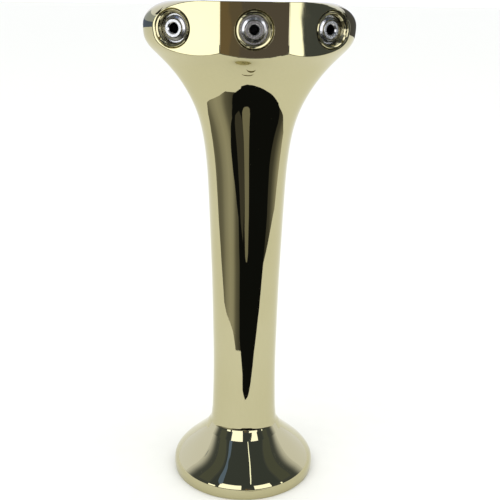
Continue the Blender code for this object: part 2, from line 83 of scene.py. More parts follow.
# ---- curves ----
def spline(table, z, column):
    """Monotone cubic through a table of (height, value, ...) rows."""
    n = len(table)
    if z <= table[0][0]:
        return table[0][column]
    if z >= table[-1][0]:
        return table[-1][column]
    k = max(i for i in range(n - 1) if table[i][0] <= z)

    def secant(i):
        return (table[i + 1][column] - table[i][column]) / (table[i + 1][0] - table[i][0])

    def slope(i):
        if i == 0:
            return secant(0)
        if i == n - 1:
            return secant(n - 2)
        a, b = secant(i - 1), secant(i)
        return 0.0 if a * b <= 0.0 else 2.0 * a * b / (a + b)

    h = table[k + 1][0] - table[k][0]
    t = (z - table[k][0]) / h
    return (
        (2 * t**3 - 3 * t**2 + 1) * table[k][column] + (t**3 - 2 * t**2 + t) * h * slope(k)
        + (-2 * t**3 + 3 * t**2) * table[k + 1][column] + (t**3 - t**2) * h * slope(k + 1)
    )


def bezier(p, t):
    s = 1.0 - t
    return tuple(s**3 * a + 3 * s * s * t * b + 3 * s * t * t * c + t**3 * d for a, b, c, d in zip(*p))


STEP = 0.25
GRID = np.arange(0.0, HEIGHT + STEP / 2, STEP)


def raw_tables():
    bell = [bezier((LIP[-1], BELL_PULL_A, BELL_PULL_B, (NECK_Z, HORN[0][1])), i / 400.0) for i in range(401)]
    bz, br = np.array([p[0] for p in bell]), np.array([p[1] for p in bell])
    wide, front, back = [], [], []
    for z in GRID:
        if z <= LIP[-1][0]:
            r = spline(LIP, z, 1)
            wide.append(r), front.append(r), back.append(r)
        elif z <= NECK_Z:
            r = float(np.interp(z, bz, br))
            wide.append(r), front.append(r), back.append(r)
        else:
            lift = max(0.0, (z - HEAD_WIDE_Z) / (HEIGHT - HEAD_WIDE_Z))
            arc = TOP_HALF + (HEAD_HALF - TOP_HALF) * math.sqrt(max(0.0, 1.0 - lift * lift))
            wide.append(spline(HORN, z, 1) if z <= HEAD_WIDE_Z else arc)
            front.append(spline(DEPTH, z, 1))
            back.append(spline(DEPTH, z, 2))
    return np.array(wide), np.array(front), np.array(back)


def blurred(values, sigma):
    """The table rounded over a few millimetres of height, so that reflections run through its knots."""
    n = int(4 * sigma / STEP)
    kernel = np.exp(-0.5 * (np.arange(-n, n + 1) * STEP / sigma) ** 2)
    kernel /= kernel.sum()
    # the ends are continued with their own slope
    head = values[0] + (np.arange(-n, 0)) * (values[1] - values[0])
    tail = values[-1] + (np.arange(1, n + 1)) * (values[-1] - values[-2])
    return np.convolve(np.concatenate([head, values, tail]), kernel, "valid")


def ramp(z, low, high):
    t = np.clip((z - low) / (high - low), 0.0, 1.0)
    return t * t * (3.0 - 2.0 * t)


def settle(values):
    fine, broad, head = blurred(values, 1.3), blurred(values, 6.0), blurred(values, 2.2)
    out = fine + (broad - fine) * ramp(GRID, 68.0, 104.0)
    out = out + (head - out) * ramp(GRID, 440.0, 460.0)
    return out + (values - out) * ramp(GRID, 481.0, 489.0)


WIDE, FRONT, BACK = (settle(v) for v in raw_tables())


def ring(z, quarter, wide=None, inset=0.0, back_off=0.0):
    """One horizontal outline of the uncut horn, in millimetres."""
    w = float(np.interp(z, GRID, WIDE)) if wide is None else wide
    f, b = float(np.interp(z, GRID, FRONT)), float(np.interp(z, GRID, BACK)) - back_off
    w, f, b = w - inset, f - inset, b - inset
    s = float(ramp(z, ROUND_TO_Z, OBLONG_FROM_Z))
    c, far = 0.5523, -20.0 * s
    square = 0.64 + 0.16 * float(ramp(z, 444.0, 466.0))
    fx, fy = (c + (square - c) * s) * w, (1.0 - s) * c * f + s * 9.6
    bx, by = (c + (0.62 - c) * s) * w, (1.0 - s) * c * b + s * 26.0
    t = np.linspace(0.0, 1.0, quarter + 1)
    u = 1.0 - t
    q = np.stack([u**3, 3 * u * u * t, 3 * u * t * t, t**3], 1)
    a = q @ np.array([(0.0, -f), (fx, -f), (w, far - fy), (w, far)])
    d = q @ np.array([(w, far), (w, far + by), (bx, b), (0.0, b)])
    if s < 1.0:
        # true circle where the column is round
        ang = np.linspace(0.0, math.pi / 2, quarter + 1)
        ca = np.stack([w * np.sin(ang), -f * np.cos(ang)], 1)
        cd = np.stack([w * np.cos(ang), b * np.sin(ang)], 1)
        a, d = a * s + ca * (1 - s) if s > 0 else ca, d * s + cd * (1 - s) if s > 0 else cd
    right = np.concatenate([a[:-1], d])
    left = right[1:-1][::-1] * np.array([-1.0, 1.0])
    xy = np.concatenate([right, left])
    return np.column_stack([xy, np.full(len(xy), z)])


QUARTER = 48


def horn_rings():
    levels = list(np.arange(0.8, 19.2, 0.8)) + list(np.arange(19.2, 62.1, 0.75)) + list(np.arange(62.1, 83.0, 1.25))
    levels += list(np.arange(83.0, 336.0, 3.5)) + list(np.arange(336.0, 412.0, 2.0)) + list(np.arange(412.0, 481.4, 1.0))
    rows = [ring(z, QUARTER) for z in levels]
    for i in range(25):
        a = math.pi / 2 * i / 24
        z = HEAD_WIDE_Z + (HEIGHT - HEAD_WIDE_Z) * math.sin(a)
        w = None if i < 6 else TOP_HALF + (HEAD_HALF - TOP_HALF) * math.cos(a)
        roll = min(1.0, max(0.0, (z - HEIGHT) / BACK_ROLL + 1.0))
        rows.append(ring(z, QUARTER, w, 0.0, BACK_ROLL * (1.0 - math.sqrt(1.0 - roll * roll))))
    rows[-1][:, 2] = HEIGHT
    return np.array(rows)


P = horn_rings()
du = np.roll(P, -1, 1) - np.roll(P, 1, 1)
dv = np.empty_like(P)
dv[1:-1] = P[2:] - P[:-2]
dv[0], dv[-1] = P[1] - P[0], P[-1] - P[-2]
N = np.cross(du, dv)
N /= np.linalg.norm(N, axis=2, keepdims=True)
N[-1] = (0.0, 0.0, 1.0)


# ---- mesh helpers ----
class Sheet:
    """Collects vertices, faces and wanted vertex normals, then makes one mesh object."""

    def __init__(self):
        self.v, self.f, self.n, self.m = [], [], [], []

    def points(self, pts, normals=None):
        start = len(self.v)
        self.v.extend(tuple(float(c) for c in p) for p in pts)
        self.n.extend((0.0, 0.0, 0.0) for _ in pts) if normals is None else self.n.extend(
            tuple(float(c) for c in q) for q in normals
        )
        return start

    def faces(self, faces, slot=0):
        self.f.extend(faces)
        self.m.extend([slot] * len(faces))

    def grid(self, pts, normals, closed=True, slot=0):
        """A grid of rows x columns of points."""
        rows, cols = pts.shape[:2]
        s = self.points(pts.reshape(-1, 3), None if normals is None else normals.reshape(-1, 3))
        out = []
        for r in range(rows - 1):
            for c in range(cols if closed else cols - 1):
                d = (c + 1) % cols
                out.append((s + r * cols + c, s + r * cols + d, s + (r + 1) * cols + d, s + (r + 1) * cols + c))
        self.faces(out, slot)

    def flat(self, loops, normal, slot=0):
        """A flat face with holes: the first loop is its outline, the rest are holes."""
        pts = [Vector(p) for loop in loops for p in loop]
        tris = tessellate_polygon([[Vector(p) for p in loop] for loop in loops])
        s = self.points(pts, [normal] * len(pts))
        want, out = Vector(normal), []
        for t in tris:
            a, b, c = (pts[i] for i in t)
            cr = (b - a).cross(c - a)
            if cr.length < 1e-12:
                continue
            out.append(tuple(s + i for i in (t if cr.dot(want) > 0 else t[::-1])))
        self.faces(out, slot)

    def make(self, name, mats, scale=MM, matrix=None):
        mesh = bpy.data.meshes.new(name)
        mesh.from_pydata([tuple(c * scale for c in p) for p in self.v], [], self.f)
        for m in mats:
            mesh.materials.append(m)
        mesh.polygons.foreach_set("material_index", self.m)
        mesh.polygons.foreach_set("use_smooth", [True] * len(self.f))
        mesh.update()
        if any(any(q) for q in self.n):
            mesh.normals_split_custom_set_from_vertices(self.n)
        ob = bpy.data.objects.new(name, mesh)
        scene.collection.objects.link(ob)
        if matrix is not None:
            ob.matrix_world = matrix
        return ob


def rounded(profile, arc=5):
    """A profile of (r, z) or (r, z, fillet) rows with its corners rounded: points and their outward normals."""
    pts = []
    n = len(profile)
    for i, row in enumerate(profile):
        p = Vector(row[:2])
        fillet = row[2] if len(row) > 2 else 0.0
        if i in (0, n - 1) or fillet <= 0.0:
            pts.append(p)
            continue
        a, b = Vector(profile[i - 1][:2]) - p, Vector(profile[i + 1][:2]) - p
        la, lb = a.length, b.length
        a, b = a.normalized(), b.normalized()
        ang = a.angle(b)
        if ang > math.pi - 0.02:
            pts.append(p)
            continue
        back = min(fillet / math.tan(ang / 2), 0.48 * la, 0.48 * lb)
        r = back * math.tan(ang / 2)
        centre = p + (a + b).normalized() * (r / math.sin(ang / 2))
        s, e = p + a * back - centre, p + b * back - centre
        turn = math.atan2(s.x * e.y - s.y * e.x, s.dot(e))
        for k in range(arc + 1):
            t = turn * k / arc
            pts.append(centre + Vector((s.x * math.cos(t) - s.y * math.sin(t), s.x * math.sin(t) + s.y * math.cos(t))))
    out, normals = [], []
    for i, p in enumerate(pts):
        a, b = pts[max(0, i - 1)], pts[min(len(pts) - 1, i + 1)]
        ta = (p - a).normalized() if (p - a).length > 1e-9 else None
        tb = (b - p).normalized() if (b - p).length > 1e-9 else None
        t = (ta + tb).normalized() if ta and tb and (ta + tb).length > 1e-6 else (tb or ta)
        out.append((p.x, p.y))
        normals.append((-t.y, t.x))
    return out, normals


def support(points, normals, near=0.12):
    """Adds a point close to each end of a long straight run, so that shading stays flat between rounded corners."""
    out_p, out_n = [], []
    for i in range(len(points) - 1):
        a, b = Vector(points[i]), Vector(points[i + 1])
        out_p.append(points[i]), out_n.append(normals[i])
        run = b - a
        if run.length > 4 * near:
            t = run.normalized()
            nn = (-t.y, t.x)
            for q in (a + t * near, b - t * near):
                out_p.append((q.x, q.y)), out_n.append(nn)
    out_p.append(points[-1]), out_n.append(normals[-1])
    return out_p, out_n


def lathe(sheet, profile, steps=96, slot=0, matrix=None, sign=None, arc=5):
    """Turns a profile about local Z into a sheet. The profile runs so that its left side, looking along it, is outside."""
    pts, nrm = support(*rounded(profile, arc))
    ang = np.arange(steps) * 2 * math.pi / steps
    grid = np.array([[(r * math.cos(a), r * math.sin(a), z) for a in ang] for r, z in pts])
    norm = np.array([[(nr * math.cos(a), nr * math.sin(a), nz) for a in ang] for nr, nz in nrm])
    if matrix is not None:
        rot, off = np.array(matrix.to_3x3()), np.array(matrix.translation)
        grid = grid @ rot.T + off
        norm = norm @ rot.T
    rows, cols = grid.shape[:2]
    s = sheet.points(grid.reshape(-1, 3), norm.reshape(-1, 3))
    out = []
    for r in range(rows - 1):
        for c in range(cols):
            d = (c + 1) % cols
            out.append((s + r * cols + c, s + (r + 1) * cols + c, s + (r + 1) * cols + d, s + r * cols + d))
    sheet.faces(out, slot)


def clip(outline, planes):
    """A convex-side clip of a closed plan outline by half planes (point, outward direction)."""
    pts = [Vector(p[:2]) for p in outline]
    for place, away in planes:
        out = []
        for a, b in zip(pts, pts[1:] + pts[:1]):
            da, db = (a - place).dot(away), (b - place).dot(away)
            if da <= 0:
                out.append(a)
            if da * db < 0:
                out.append(a + (b - a) * (da / (da - db)))
        pts = out
    return pts


def face_planes(inset=0.0):
    out = []
    for side in (-1, 0, 1):
        a = side * FACE_ANGLE
        away = Vector((math.sin(a), -math.cos(a)))
        place = Vector((side * FACE_HALF, FACE_Y)) - away * inset
        out.append((place, away))
    return out


def outlet_frame(side, scale=1.0):
    angle = side * FACE_ANGLE
    out = Vector((math.sin(angle), -math.cos(angle), 0.0))
    if side == 0:
        place = Vector((0.0, FACE_Y, HOLE_Z))
    else:
        place = Vector((side * (FACE_HALF + SIDE_HOLE * math.cos(FACE_ANGLE)), FACE_Y + SIDE_HOLE * math.sin(FACE_ANGLE), HOLE_Z))
    up = Vector((0.0, 0.0, 1.0))
    across = up.cross(out)
    return Matrix.Translation(place * scale) @ Matrix((across, up, out)).transposed().to_4x4()


FRAMES = {name: outlet_frame(side) for name, side in OUTLETS}
FRAMES_M = {name: outlet_frame(side, MM) for name, side in OUTLETS}


# ---- materials ----
def nodes_of(name):
    mat = bpy.data.materials.new(name)
    mat.use_nodes = True
    tree = mat.node_tree
    return mat, tree, tree.nodes["Principled BSDF"]


def node(tree, kind, **values):
    n = tree.nodes.new(kind)
    for key, value in values.items():
        if key.startswith("in_"):
            n.inputs[int(key[3:]) if key[3:].isdigit() else key[3:].replace("_", " ")].default_value = value
        else:
            setattr(n, key, value)
    return n


def scalar_ramp(tree, source, low, high, a=0.35, b=0.65):
    m = node(tree, "ShaderNodeMapRange")
    m.inputs["From Min"].default_value, m.inputs["From Max"].default_value = a, b
    m.inputs["To Min"].default_value, m.inputs["To Max"].default_value = low, high
    tree.links.new(source, m.inputs["Value"])
    return m.outputs["Result"]


def colour_mix(tree, factor, a, b):
    m = node(tree, "ShaderNodeMix", data_type="RGBA")
    m.inputs[6].default_value, m.inputs[7].default_value = (*a, 1.0), (*b, 1.0)
    tree.links.new(factor, m.inputs[0])
    return m.outputs[2]


def polished_gold(name, base=(0.515, 0.478, 0.298), rough=(0.012, 0.035), wave=0.10):
    """Mirror-polished, PVD-coated brass: faint colour drift, buffing haze, fine wipe marks and the slight waviness of a hand-polished casting."""
    mat, tree, shader = nodes_of(name)
    place = node(tree, "ShaderNodeTexCoord")
    drift = node(tree, "ShaderNodeTexNoise", in_Scale=9.0, in_Detail=2.0)
    tree.links.new(place.outputs["Object"], drift.inputs["Vector"])
    deep = tuple(c * k for c, k in zip(base, (0.955, 0.945, 0.90)))
    tree.links.new(colour_mix(tree, scalar_ramp(tree, drift.outputs["Fac"], 0.0, 1.0), base, deep), shader.inputs["Base Color"])
    haze = node(tree, "ShaderNodeTexNoise", in_Scale=55.0, in_Detail=5.0, in_Roughness=0.6)
    tree.links.new(place.outputs["Object"], haze.inputs["Vector"])
    # fine wipe marks, drawn out sideways
    squeeze = node(tree, "ShaderNodeMapping")
    squeeze.inputs["Scale"].default_value = (180.0, 180.0, 1800.0)
    tree.links.new(place.outputs["Object"], squeeze.inputs["Vector"])
    marks = node(tree, "ShaderNodeTexNoise", in_Scale=1.0, in_Detail=3.0, in_Roughness=0.7)
    tree.links.new(squeeze.outputs["Vector"], marks.inputs["Vector"])
    both = node(tree, "ShaderNodeMath", operation="MULTIPLY")
    tree.links.new(haze.outputs["Fac"], both.inputs[0])
    tree.links.new(marks.outputs["Fac"], both.inputs[1])
    tree.links.new(scalar_ramp(tree, both.outputs[0], rough[0], rough[1], 0.15, 0.42), shader.inputs["Roughness"])
    shader.inputs["Metallic"].default_value = 1.0
    swell = node(tree, "ShaderNodeTexNoise", in_Scale=26.0, in_Detail=1.0)
    tree.links.new(place.outputs["Object"], swell.inputs["Vector"])
    bump = node(tree, "ShaderNodeBump")
    bump.inputs["Strength"].default_value = wave
    bump.inputs["Distance"].default_value = 0.0012
    tree.links.new(swell.outputs["Fac"], bump.inputs["Height"])
    fine = node(tree, "ShaderNodeBump")
    fine.inputs["Strength"].default_value = 0.02
    fine.inputs["Distance"].default_value = 0.00006
    tree.links.new(marks.outputs["Fac"], fine.inputs["Height"])
    tree.links.new(bump.outputs["Normal"], fine.inputs["Normal"])
    tree.links.new(fine.outputs["Normal"], shader.inputs["Normal"])
    return mat


def turned_metal(name, base, rough=(0.14, 0.26), pitch=5200.0, strength=0.25):
    """Lathe-turned metal: concentric tool lines about local Z, with soft grime."""
    mat, tree, shader = nodes_of(name)
    place = node(tree, "ShaderNodeTexCoord")
    split = node(tree, "ShaderNodeSeparateXYZ")
    tree.links.new(place.outputs["Object"], split.inputs[0])
    radius = node(tree, "ShaderNodeVectorMath", operation="LENGTH")
    flatten = node(tree, "ShaderNodeVectorMath", operation="MULTIPLY")
    flatten.inputs[1].default_value = (1.0, 1.0, 0.0)
    tree.links.new(place.outputs["Object"], flatten.inputs[0])
    tree.links.new(flatten.outputs[0], radius.inputs[0])
    reach = node(tree, "ShaderNodeMath", operation="ADD")
    tree.links.new(radius.outputs["Value"], reach.inputs[0])
    tree.links.new(split.outputs["Z"], reach.inputs[1])
    scale = node(tree, "ShaderNodeMath", operation="MULTIPLY")
    scale.inputs[1].default_value = pitch
    tree.links.new(reach.outputs[0], scale.inputs[0])
    lines = node(tree, "ShaderNodeTexNoise", noise_dimensions="1D", in_Scale=1.0, in_Detail=3.0, in_Roughness=0.65)
    tree.links.new(scale.outputs[0], lines.inputs["W"])
    cloud = node(tree, "ShaderNodeTexNoise", in_Scale=240.0, in_Detail=4.0)
    tree.links.new(place.outputs["Object"], cloud.inputs["Vector"])
    dark = tuple(c * 0.72 for c in base)
    tree.links.new(colour_mix(tree, scalar_ramp(tree, cloud.outputs["Fac"], 0.0, 1.0, 0.4, 0.75), base, dark), shader.inputs["Base Color"])
    tree.links.new(scalar_ramp(tree, lines.outputs["Fac"], rough[0], rough[1]), shader.inputs["Roughness"])
    shader.inputs["Metallic"].default_value = 1.0
    bump = node(tree, "ShaderNodeBump")
    bump.inputs["Strength"].default_value = strength
    bump.inputs["Distance"].default_value = 0.00005
    tree.links.new(lines.outputs["Fac"], bump.inputs["Height"])
    tree.links.new(bump.outputs["Normal"], shader.inputs["Normal"])
    return mat


def dull(name, base, rough=0.7, grain=900.0, strength=0.3, spread=0.25):
    """Rubber, foam and plastic, and the painted shade inside the shank bores: fine grain, slight colour and gloss
    variation.
    """
    mat, tree, shader = nodes_of(name)
    place = node(tree, "ShaderNodeTexCoord")
    fine = node(tree, "ShaderNodeTexNoise", in_Scale=grain, in_Detail=4.0)
    broad = node(tree, "ShaderNodeTexNoise", in_Scale=40.0, in_Detail=2.0)
    tree.links.new(place.outputs["Object"], fine.inputs["Vector"])
    tree.links.new(place.outputs["Object"], broad.inputs["Vector"])
    light = tuple(min(1.0, c * (1 + spread) + 0.01) for c in base)
    tree.links.new(colour_mix(tree, scalar_ramp(tree, broad.outputs["Fac"], 0.0, 1.0), base, light), shader.inputs["Base Color"])
    tree.links.new(scalar_ramp(tree, fine.outputs["Fac"], rough - 0.08, rough + 0.1), shader.inputs["Roughness"])
    bump = node(tree, "ShaderNodeBump")
    bump.inputs["Strength"].default_value = strength
    bump.inputs["Distance"].default_value = 0.0002
    tree.links.new(fine.outputs["Fac"], bump.inputs["Height"])
    tree.links.new(bump.outputs["Normal"], shader.inputs["Normal"])
    return mat


GOLD = polished_gold("polished_brass")
GOLD_NUT = polished_gold("polished_brass_nut", rough=(0.03, 0.09), wave=0.03)
STEEL = turned_metal("turned_stainless", (0.62, 0.62, 0.63))
STEEL_PLAIN = turned_metal("plain_stainless", (0.55, 0.55, 0.55), rough=(0.2, 0.38), strength=0.15)
BRASS = turned_metal("machined_brass", (0.60, 0.47, 0.24), rough=(0.18, 0.34))
RUBBER = dull("black_rubber", (0.018, 0.018, 0.018), 0.72)
FOAM = dull("foam", (0.045, 0.045, 0.047), 0.88, grain=600.0, strength=0.6)
# near-black painted shade for the inside of the shank bores
BORE_SHADE = dull("bore_painted_shade", (0.006, 0.006, 0.006), 0.6)


# ---- tower body ----
def tower():
    rows, cols = P.shape[:2]
    bm = bmesh.new()
    grade = bm.faces.layers.int.new("grade")
    verts = [bm.verts.new(p) for p in P.reshape(-1, 3)]
    for r in range(rows - 1):
        for c in range(cols):
            d = (c + 1) % cols
            bm.faces.new((verts[r * cols + c], verts[r * cols + d], verts[(r + 1) * cols + d], verts[(r + 1) * cols + c]))
    planes = [(Vector((p.x, p.y, 0.0)), Vector((a.x, a.y, 0.0))) for p, a in face_planes()]
    for place, away in planes:
        upper = [f for f in bm.faces if min(v.co.z for v in f.verts) > 420.0]
        geom = set(upper)
        for f in upper:
            geom.update(f.verts)
            geom.update(f.edges)
        bmesh.ops.bisect_plane(bm, geom=list(geom), dist=1e-5, plane_co=place, plane_no=away, clear_outer=True)
    bm.verts.ensure_lookup_table()

    # short edges beside the cut are closed up, so that its bevel stays clean
    edge_verts = {v for e in bm.edges if e.is_boundary and e.verts[0].co.z > 425.0 for v in e.verts}
    cut = {v for v in edge_verts if any(abs((v.co - p).dot(a)) < 1e-3 for p, a in planes) and v.co.y < 20.0}
    target = {}
    for v in cut:
        for e in v.link_edges:
            o = e.other_vert(v)
            if o not in cut and o not in target and e.calc_length() < 0.9 and o.co.z < HEIGHT - 0.01:
                target[o] = v
    if target:
        bmesh.ops.weld_verts(bm, targetmap=target)

    def on(v, k):
        p, a = planes[k]
        return abs((v.co - p).dot(a)) < 1e-3

    # corners of the faces along the top
    top_left = bm.verts.new((-FACE_HALF, FACE_Y, HEIGHT))
    top_right = bm.verts.new((FACE_HALF, FACE_Y, HEIGHT))

    def chain(k):
        edges = [e for e in bm.edges if e.is_boundary and e.verts[0].co.z > 425.0 and on(e.verts[0], k) and on(e.verts[1], k)
                 and not (e.verts[0].co.z > HEIGHT - 1e-3 and e.verts[1].co.z > HEIGHT - 1e-3)]
        link = {}
        for e in edges:
            for v in e.verts:
                link.setdefault(v, []).append(e.other_vert(v))
        ends = [v for v in link if len(link[v]) == 1]
        start = min(ends, key=lambda v: v.co.x)
        line, seen = [start], {start}
        while True:
            more = [v for v in link[line[-1]] if v not in seen]
            if not more:
                break
            line.append(more[0])
            seen.add(more[0])
        return line

    left, mid, right = chain(0), chain(1), chain(2)
    facets = [bm.faces.new(left + [top_left]), bm.faces.new(mid + [top_right, top_left]), bm.faces.new(right + [top_right])]
    outer = [e for e in bm.edges if e.is_boundary and min(v.co.z for v in e.verts) > HEIGHT - 1e-3]
    made = bmesh.ops.contextual_create(bm, geom=outer)["faces"]
    top = max((f for f in bm.faces if all(v.co.z > HEIGHT - 1e-3 for v in f.verts)), key=lambda f: f.calc_area())
    bmesh.ops.recalc_face_normals(bm, faces=bm.faces)
    facet_set = set(facets)
    crease = [e for e in bm.edges if len(e.link_faces) == 2 and (e.link_faces[0] in facet_set or e.link_faces[1] in facet_set)]
    for f in bm.faces:
        f[grade] = 1
    for i, f in enumerate(facets):
        f[grade] = 10 + i
    top[grade] = 20
    bmesh.ops.bevel(bm, geom=crease, offset=0.55, offset_type="OFFSET", segments=3, profile=0.5, affect="EDGES",
                    clamp_overlap=False, material=-1)
    return bm, grade, planes


bm, grade, planes = tower()
lookup_rows = [i for i in range(P.shape[0]) if P[i, 0, 2] > 416.0]
LP, LN = P[lookup_rows], N[lookup_rows]
lr, lc = LP.shape[:2]
bvh = BVHTree.FromPolygons(
    [tuple(p) for p in LP.reshape(-1, 3)],
    [(r * lc + c, r * lc + (c + 1) % lc, (r + 1) * lc + (c + 1) % lc, (r + 1) * lc + c) for r in range(lr - 1) for c in range(lc)],
)


def horn_normal(p):
    place, _, index, _ = bvh.find_nearest(p)
    r, c = divmod(index, lc)
    d = (c + 1) % lc
    ids = [(r, c), (r, d), (r + 1, d), (r + 1, c)]
    w = [1.0 / ((Vector(LP[i]) - place).length + 1e-4) ** 2 for i in ids]
    n = sum((Vector(LN[i]) * k for i, k in zip(ids, w)), Vector())
    return n.normalized()


exact = KDTree(P.shape[0] * P.shape[1])
for i, p in enumerate(P.reshape(-1, 3)):
    exact.insert(Vector(p), i)
exact.balance()

body = Sheet()
bm.verts.ensure_lookup_table()
bmesh.ops.recalc_face_normals(bm, faces=bm.faces)
centre_face = [f for f in bm.faces if f[grade] == 11 and f.calc_area() > 500.0][0]
if centre_face.normal.y > 0:
    bmesh.ops.reverse_faces(bm, faces=bm.faces)
facet_loops, top_loop = {}, None
owner = {}
face_normal = {10 + i: planes[i][1] for i in range(3)}
face_normal[20] = Vector((0.0, 0.0, 1.0))
big = {}
for f in bm.faces:
    g = f[grade]
    if g >= 10 and (g not in big or f.calc_area() > big[g].calc_area()):
        big[g] = f
big_faces = {f: g for g, f in big.items()}
for v in bm.verts:
    kinds = [big_faces[f] for f in v.link_faces if f in big_faces]
    if kinds:
        n = face_normal[kinds[0]]
    else:
        _, index, away = exact.find(v.co)
        if away < 2e-3:
            n = Vector(N.reshape(-1, 3)[index])
        elif any(f[grade] == 1 and f.calc_area() > 0.9 for f in v.link_faces) or v.co.z < 418.0:
            n = horn_normal(v.co)
        else:
            n = v.normal.copy()
            v.normal_update()
            n = v.normal.copy()
    owner[v.index] = n
body.points([v.co for v in bm.verts], [owner[v.index] for v in bm.verts])
body.faces([tuple(v.index for v in f.verts) for f in bm.faces if f not in big_faces])


def circle(matrix, radius, steps, z=0.0):
    return [matrix @ Vector((radius * math.cos(2 * math.pi * i / steps), radius * math.sin(2 * math.pi * i / steps), z)) for i in range(steps)]


HOLE_EDGE = POCKET_R + 0.8
for i, (name, side) in enumerate(OUTLETS):
    outline = [v.co.copy() for v in big[10 + i].verts]
    body.flat([outline, circle(FRAMES[name], HOLE_EDGE + 0.25, 96)], planes[i][1])
    lathe(body, [(HOLE_EDGE + 0.25, 0.0), (HOLE_EDGE, 0.0, 0.3), (POCKET_R, -0.8, 0.25), (POCKET_R, -POCKET_DEPTH, 0.5),
                 (SHANK_R + GAP, -POCKET_DEPTH)][::-1], 96, 0, FRAMES[name])

lid_edge = clip(ring(HEIGHT, 40, TOP_HALF, LID_INSET, BACK_ROLL), face_planes(LID_INSET))
mouth_edge = clip(ring(HEIGHT, 40, TOP_HALF, MOUTH_INSET, BACK_ROLL), face_planes(MOUTH_INSET))
outline = [v.co.copy() for v in big[20].verts]
body.flat([outline, [(p.x, p.y, HEIGHT) for p in lid_edge]], (0.0, 0.0, 1.0))
bm.free()


def wall(sheet, loop, z_low, z_high, inward, slot=0):
    """A vertical wall along a closed plan outline."""
    n = len(loop)
    s = sheet.points([(p.x, p.y, z_low) for p in loop] + [(p.x, p.y, z_high) for p in loop])
    out = []
    for i in range(n):
        j = (i + 1) % n
        q = (s + i, s + j, s + n + j, s + n + i)
        out.append(q[::-1] if inward else q)
    sheet.faces(out, slot)


wall(body, lid_edge, LEDGE_Z, HEIGHT, True)
body.flat([[(p.x, p.y, LEDGE_Z) for p in lid_edge], [(p.x, p.y, LEDGE_Z) for p in mouth_edge]], (0.0, 0.0, 1.0))
wall(body, mouth_edge, LEDGE_Z - 5.0, LEDGE_Z, True)

# underside of the lip and the inside of the bell
lathe(body, [(72.6, 9.5), (73.3, 0.0, 0.4), (76.0, 0.0, 0.4), (76.7, 0.8)], 192, 0)
inside = [(33.2, 74.5), (35.2, 60.0, 6.0), (47.6, 39.4, 12.0), (66.2, 22.8, 10.0), (72.6, 9.5)]
lathe(body, inside, 96, 0)
tower_skin = body.make("tower_skin", [GOLD])
print("tower skin", len(tower_skin.data.vertices), "vertices", len(tower_skin.data.polygons), "faces")


# ---- cover ----
def inset_loop(loop, amount):
    """A closed plan outline moved inwards."""
    n, out = len(loop), []
    for i in range(n):
        a, b, c = loop[i - 1], loop[i], loop[(i + 1) % n]
        t = ((b - a).normalized() + (c - b).normalized())
        t = t.normalized() if t.length > 1e-9 else (c - b).normalized()
        out.append(b + Vector((-t.y, t.x)) * amount)
    return out


cover = Sheet()
cover_edge = clip(ring(HEIGHT, 40, TOP_HALF, LID_INSET + GAP, BACK_ROLL), face_planes(LID_INSET + GAP))
cover_low = LEDGE_Z + 2 * GAP + 0.6
wall(cover, cover_edge, cover_low, HEIGHT - 0.35, False)
shoulder = inset_loop(cover_edge, 0.12)
brow = inset_loop(cover_edge, 0.38)
n = len(cover_edge)
s = cover.points([(p.x, p.y, HEIGHT - 0.35) for p in cover_edge] + [(p.x, p.y, HEIGHT - 0.10) for p in shoulder] + [(p.x, p.y, HEIGHT) for p in brow])
for k in range(2):
    cover.faces([(s + k * n + i, s + k * n + (i + 1) % n, s + (k + 1) * n + (i + 1) % n, s + (k + 1) * n + i) for i in range(n)])
holes = []
for x, y in SCREW_SPOTS:
    spot = Matrix.Translation(Vector((x, y, HEIGHT)))
    holes.append(circle(spot, 3.7, 48))
    lathe(cover, [(3.7, 0.0), (3.55, -0.04), (3.1, -0.35, 0.1), (1.6, -1.9, 0.1), (1.6, HEIGHT * 0 - 2.5)][::-1], 48, 0, spot)
cover.flat([[(p.x, p.y, HEIGHT) for p in brow]] + holes, (0.0, 0.0, 1.0))
cover.flat([[(p.x, p.y, cover_low) for p in cover_edge]], (0.0, 0.0, -1.0))
cover_skin = cover.make("cover_skin", [GOLD])


def hexagon(matrix, radius, z):
    return [matrix @ Vector((radius * math.cos(math.pi * i / 3), radius * math.sin(math.pi * i / 3), z)) for i in range(6)]


screw_skins = []
for i, (x, y) in enumerate(SCREW_SPOTS):
    one = Sheet()
    lathe(one, [(1.25, -7.2), (1.25, -1.95, 0.1), (2.7, -0.50, 0.1), (2.7, -0.25, 0.08), (2.5, -0.25)], 48, 0)
    one.flat([circle(Matrix(), 2.5, 48, -0.25), hexagon(Matrix(), 1.1, -0.25)], (0.0, 0.0, 1.0))
    rim, low = hexagon(Matrix(), 1.1, -0.25), hexagon(Matrix(), 1.1, -1.3)
    for k in range(6):
        s = one.points([rim[k], low[k], low[(k + 1) % 6], rim[(k + 1) % 6]])
        one.faces([(s, s + 1, s + 2, s + 3)])
    one.flat([low], (0.0, 0.0, 1.0))
    screw_skins.append(one.make("cover_screw_skin_%d" % (i + 1), [STEEL], MM, Matrix.Translation(Vector((x, y, HEIGHT)) * MM)))


# ---- outlets ----
def threaded(sheet, low, high, radius, pitch, depth, steps=96, slot=0):
    """A helical internal thread between two heights, fading out at both ends."""
    rows = int((high - low) / pitch * 8)
    grid = np.zeros((rows + 1, steps, 3))
    for i in range(rows + 1):
        z = low + (high - low) * i / rows
        fade = min(1.0, (z - low) / 0.6, (high - z) / 0.6)
        for k in range(steps):
            a = 2 * math.pi * k / steps
            phase = (z / pitch - k / steps) % 1.0
            crest = abs(phase * 2.0 - 1.0)
            crest = min(0.85, max(0.15, crest)) / 0.7 - 0.214
            r = radius + depth * (crest - 1.0) * max(0.0, fade) if depth else radius
            grid[i, k] = (r * math.cos(a), r * math.sin(a), z)
    sheet.grid(grid[:, ::-1], None, True, slot)


